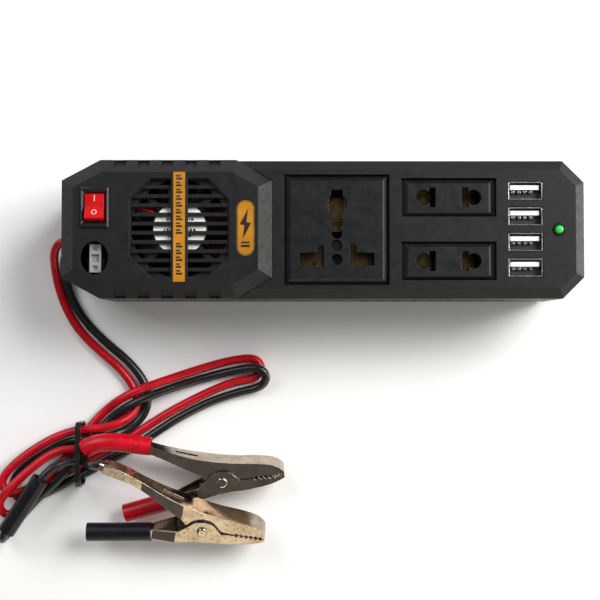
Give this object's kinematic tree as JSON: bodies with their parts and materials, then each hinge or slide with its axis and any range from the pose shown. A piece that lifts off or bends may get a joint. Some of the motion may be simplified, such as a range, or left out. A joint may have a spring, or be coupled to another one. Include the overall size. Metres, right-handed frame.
{
  "type": "power inverter",
  "caption": "Black DC to AC power inverter with fan grille, rocker switch, fuse, universal and two-pin sockets, USB ports and red and black leads with battery clamps.",
  "frame": {"origin": "centre of the housing's footprint on the surface it stands on", "axes": "+X towards the USB end along the housing, +Y across it away from the leads, +Z out of the outlet face"},
  "size_m": [0.2381, 0.1551, 0.0513],
  "materials": {
    "case_black": "satin moulded ABS",
    "insert_black": "semi-gloss moulded",
    "inner_plastic": "moulded",
    "fan_black": "moulded",
    "fan_label_white": "paper label",
    "switch_black": "gloss",
    "rocker_red": "gloss",
    "fuse_clear": "translucent",
    "tinned_metal": "tin plated",
    "contact_brass": "spring brass",
    "usb_white": "moulded",
    "board_green": "solder mask",
    "screw_steel": "zinc plated",
    "lamp_green": "tinted lens",
    "ring_black": "gloss",
    "label_gold": "printed foil",
    "feet_rubber": "soft",
    "core_ferrite": "sintered ferrite",
    "winding_copper": "taped winding",
    "capacitor_sleeve": "shrink sleeve",
    "sink_aluminium": "extruded",
    "transistor_black": "moulded",
    "lead_red": "soft PVC",
    "lead_black": "soft PVC",
    "sleeve_red": "soft PVC",
    "sleeve_black": "soft PVC",
    "tie_black": "coated wire",
    "clamp_nickel": "nickel plated steel",
    "spring_steel": "spring wire"
  },
  "bodies": {
    "housing": {"black_clamp_rivet": "clamp_nickel", "black_clamp_spring": "spring_steel", "black_clamp_upper_jaw": "clamp_nickel", "black_lead": "lead_black", "board_screws": "screw_steel", "bottom_shell": "case_black", "cable_grommet": "feet_rubber", "case_screws": "screw_steel", "fan_frame": "inner_plastic", "fan_hood": "case_black", "fan_label": "fan_label_white", "fan_screws": "screw_steel", "fan_wires": "lead_red", "fuse_holder": "inner_plastic", "heat_sinks": "sink_aluminium", "high_voltage_capacitor": "capacitor_sleeve", "input_capacitors": "capacitor_sleeve", "label_strip": "label_gold", "lower_two_pin_body": "inner_plastic", "lower_two_pin_contacts": "contact_brass", "lower_two_pin_face": "insert_black", "main_board": "board_green", "pilot_lamp": "lamp_green", "pilot_lamp_ring": "ring_black", "power_transistors": "transistor_black", "rating_badge": "label_gold", "red_clamp_rivet": "clamp_nickel", "red_clamp_spring": "spring_steel", "red_clamp_upper_jaw": "clamp_nickel", "red_clamp_upper_sleeve": "sleeve_red", "red_lead": "lead_red", "rubber_feet": "feet_rubber", "slid_sleeve": "sleeve_black", "socket_fixing_screw": "screw_steel", "switch_housing": "switch_black", "switch_terminals": "tinned_metal", "terminal_block": "inner_plastic", "top_shell": "case_black", "transformer_core": "core_ferrite", "transformer_winding": "winding_copper", "universal_socket_body": "inner_plastic", "universal_socket_contacts": "contact_brass", "universal_socket_face": "insert_black", "upper_two_pin_body": "inner_plastic", "upper_two_pin_contacts": "contact_brass", "upper_two_pin_face": "insert_black", "usb_board": "board_green", "usb_contacts": "contact_brass", "usb_port_shells": "tinned_metal", "usb_tongues": "usb_white", "wire_tie": "tie_black"},
    "switch_rocker": {"switch_rocker": "rocker_red"},
    "fan_rotor": {"fan_rotor": "fan_black"},
    "blade_fuse": {"fuse_body": "fuse_clear", "fuse_blades": "tinned_metal"},
    "red_clamp_lower_half": {"red_clamp_lower_jaw": "clamp_nickel", "red_clamp_lower_sleeve": "sleeve_red"},
    "black_clamp_lower_half": {"black_clamp_lower_jaw": "clamp_nickel", "black_clamp_lower_sleeve": "sleeve_black"}
  },
  "joints": [
    {"name": "rocker_tilt", "type": "hinge", "parent": "housing", "child": "switch_rocker", "pos_m": [-0.0883, 0.0079, 0.0479], "axis": [1, 0, 0], "range_deg": [0, 22]},
    {"name": "fan_spin", "type": "hinge", "parent": "housing", "child": "fan_rotor", "pos_m": [-0.0557, 0, 0.0414], "axis": [0, 0, 1], "continuous": true},
    {"name": "fuse_pull", "type": "slide", "parent": "housing", "child": "blade_fuse", "axis": [0, 0, 1], "range_m": [0, 0.012]},
    {"name": "red_clamp_open", "type": "hinge", "parent": "housing", "child": "red_clamp_lower_half", "pos_m": [-0.04145, -0.10021, 0.00836], "axis": [-0.0303, 0.274, -0.9613], "range_deg": [0, 25], "stiffness_Nm_per_rad": 0.5, "springref_deg": -22.92, "deforming": ["red_clamp_spring"]},
    {"name": "black_clamp_open", "type": "hinge", "parent": "housing", "child": "black_clamp_lower_half", "pos_m": [-0.04918, -0.11878, 0.0135], "axis": [-0.0104, 0.4452, -0.8954], "range_deg": [0, 25], "stiffness_Nm_per_rad": 0.5, "springref_deg": -22.92, "deforming": ["black_clamp_spring"]}
  ]
}
